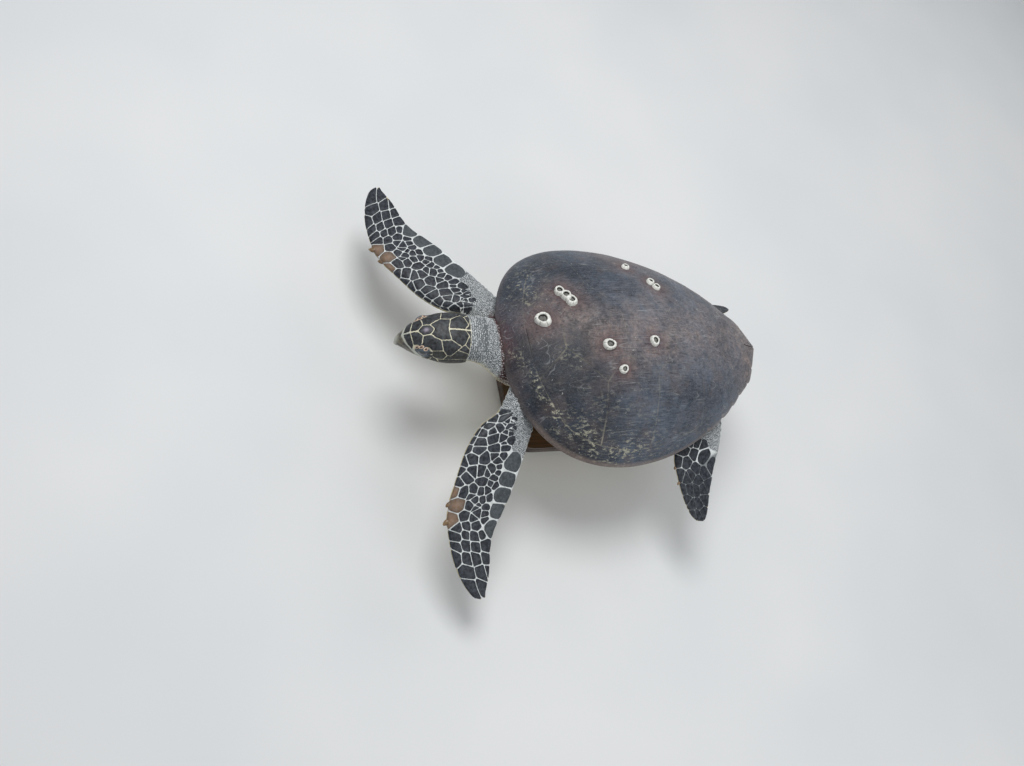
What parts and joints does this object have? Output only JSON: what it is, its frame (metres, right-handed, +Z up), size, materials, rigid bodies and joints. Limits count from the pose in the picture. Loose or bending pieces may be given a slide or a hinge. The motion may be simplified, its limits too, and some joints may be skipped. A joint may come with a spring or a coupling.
{
  "type": "hawksbill sea turtle",
  "caption": "Life-size hawksbill sea turtle gliding with spread flippers, barnacles on its worn horn shell, held on a plain display stand.",
  "frame": {"origin": "centre of the underside of the display stand's board", "axes": "+Z up, the head points to -Y, the animal's left side is to +X"},
  "size_m": [1.0835, 1.0507, 0.4559],
  "materials": {
    "shell_plates": "worn horn, satin",
    "belly_plates": "smooth pale horn, satin",
    "skin": "wrinkled wet skin",
    "scales": "smooth scales with pale seams",
    "beak": "worn beak horn",
    "claw": "worn claw horn",
    "eye": "wet and glossy",
    "barnacle": "chalky",
    "stand_board": "dark satin varnish",
    "stand_steel": "brushed"
  },
  "bodies": {
    "root": {"barnacle_cluster": "barnacle", "barnacle_front": "barnacle", "barnacle_left": "barnacle", "barnacle_middle": "barnacle", "barnacle_pair": "barnacle", "barnacle_rear": "barnacle", "barnacle_right": "barnacle", "beak_lower": "beak", "beak_upper": "beak", "bridge_left": "belly_plates", "bridge_right": "belly_plates", "claw_fore_1_left": "claw", "claw_fore_1_right": "claw", "claw_fore_2_left": "claw", "claw_fore_2_right": "claw", "claw_hind_1_left": "claw", "claw_hind_1_right": "claw", "claw_hind_2_left": "claw", "claw_hind_2_right": "claw", "costal_plate_1_left": "shell_plates", "costal_plate_1_right": "shell_plates", "costal_plate_2_left": "shell_plates", "costal_plate_2_right": "shell_plates", "costal_plate_3_left": "shell_plates", "costal_plate_3_right": "shell_plates", "costal_plate_4_left": "shell_plates", "costal_plate_4_right": "shell_plates", "eye_left": "eye", "eye_right": "eye", "fore_flipper_left": "scales", "fore_flipper_right": "scales", "head": "scales", "hind_flipper_left": "scales", "hind_flipper_right": "scales", "jaw": "skin", "marginal_plates_bridge_left": "shell_plates", "marginal_plates_bridge_right": "shell_plates", "marginal_plates_front_left": "shell_plates", "marginal_plates_front_right": "shell_plates", "marginal_plates_rear_left": "shell_plates", "marginal_plates_rear_right": "shell_plates", "neck": "skin", "nuchal_plate": "shell_plates", "plastron": "belly_plates", "stand_base": "stand_board", "stand_rod_front": "stand_steel", "stand_rod_rear": "stand_steel", "tail": "skin", "thigh_left": "skin", "thigh_right": "skin", "trunk": "skin", "upper_arm_left": "skin", "upper_arm_right": "skin", "vertebral_plate_1": "shell_plates", "vertebral_plate_2": "shell_plates", "vertebral_plate_3": "shell_plates", "vertebral_plate_4": "shell_plates", "vertebral_plate_5": "shell_plates"}
  },
  "joints": []
}
